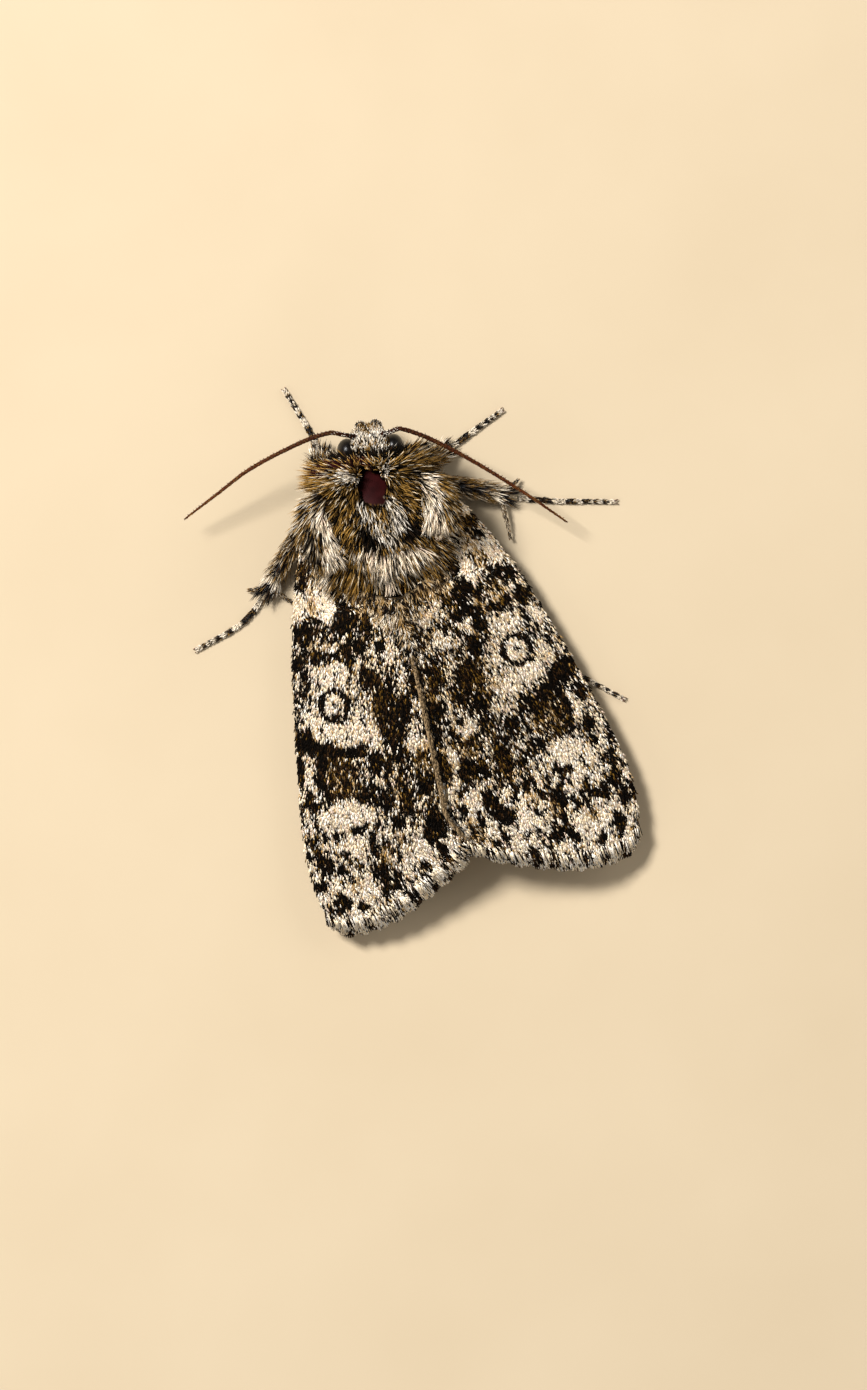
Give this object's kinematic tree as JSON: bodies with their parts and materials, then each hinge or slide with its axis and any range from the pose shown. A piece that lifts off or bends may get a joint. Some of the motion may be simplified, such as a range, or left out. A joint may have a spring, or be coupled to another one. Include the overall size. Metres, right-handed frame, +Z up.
{
  "type": "moth",
  "caption": "Life-size still model of a resting grey noctuid moth, speckled cream, black and brown, with its wings folded in a low roof, antennae spread and legs on the ground.",
  "frame": {"origin": "centre of the model's outline on the floor that its feet stand on", "axes": "+Z up from the floor, -Y the way the head points, +X the moth's own left side"},
  "size_m": [0.0202, 0.0252, 0.0054],
  "materials": {
    "forewing_scales": "matte overlapping scales, cream, black and ochre brown",
    "hindwing_scales": "matte pale grey scales",
    "body_hair": "dense flat hair-scales, ochre brown, black and cream",
    "belly_hair": "short grey-buff hair-scales",
    "eye": "glossy black compound eye",
    "antenna": "satin rust-brown horn",
    "leg_scales": "matte scales banded black and cream"
  },
  "bodies": {
    "root": {"collar": "body_hair", "thorax": "body_hair", "tegula_left": "body_hair", "tegula_right": "body_hair", "head": "body_hair", "palp_left": "body_hair", "palp_right": "body_hair", "abdomen": "belly_hair", "anal_tuft": "belly_hair", "eye_left": "eye", "antenna_left_scape": "antenna", "antenna_left_flagellum": "antenna", "forewing_left": "forewing_scales", "hindwing_left": "hindwing_scales", "eye_right": "eye", "antenna_right_scape": "antenna", "antenna_right_flagellum": "antenna", "forewing_right": "forewing_scales", "hindwing_right": "hindwing_scales", "leg_front_left_coxa": "leg_scales", "leg_front_left_femur": "leg_scales", "leg_front_left_tibia": "leg_scales", "leg_front_left_tarsus": "leg_scales", "leg_front_right_coxa": "leg_scales", "leg_front_right_femur": "leg_scales", "leg_front_right_tibia": "leg_scales", "leg_front_right_tarsus": "leg_scales", "leg_middle_left_coxa": "leg_scales", "leg_middle_left_femur": "leg_scales", "leg_middle_left_tibia": "leg_scales", "leg_middle_left_tarsus": "leg_scales", "leg_middle_right_coxa": "leg_scales", "leg_middle_right_femur": "leg_scales", "leg_middle_right_tibia": "leg_scales", "leg_middle_right_tarsus": "leg_scales", "leg_hind_left_coxa": "leg_scales", "leg_hind_left_femur": "leg_scales", "leg_hind_left_tibia": "leg_scales", "leg_hind_left_tarsus": "leg_scales", "leg_hind_right_coxa": "leg_scales", "leg_hind_right_femur": "leg_scales", "leg_hind_right_tibia": "leg_scales", "leg_hind_right_tarsus": "leg_scales"}
  },
  "joints": []
}
